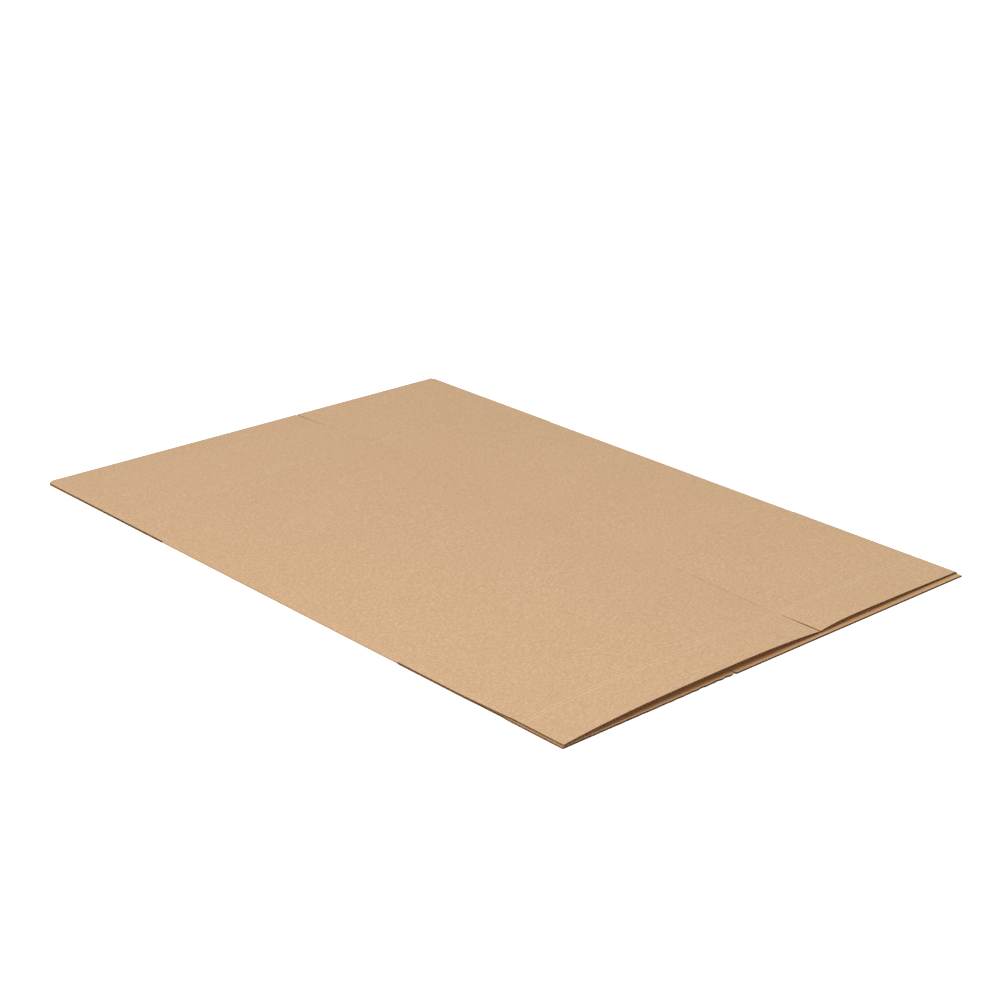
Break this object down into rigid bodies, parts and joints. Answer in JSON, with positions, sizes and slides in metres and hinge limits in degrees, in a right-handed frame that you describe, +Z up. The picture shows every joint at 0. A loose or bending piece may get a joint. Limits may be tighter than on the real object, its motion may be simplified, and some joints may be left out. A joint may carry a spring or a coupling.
{
  "type": "flattened corrugated cardboard box",
  "caption": "Corrugated shipping box folded flat for storage, its layers joined by folds at both long sides, with slotted flaps at both ends.",
  "frame": {"origin": "centre of the outline at the underside of the lower layer", "axes": "+X across the panels, from one folded side to the other; +Y along the flutes, away from the free end whose upper flaps stand off the lower ones; +Z up, out of the upper layer"},
  "size_m": [1, 1.451, 0.0264],
  "materials": {
    "kraft_board": "uncoated brown kraft facing, matt"
  },
  "bodies": {
    "root": {"folded_box": "kraft_board"}
  },
  "joints": []
}
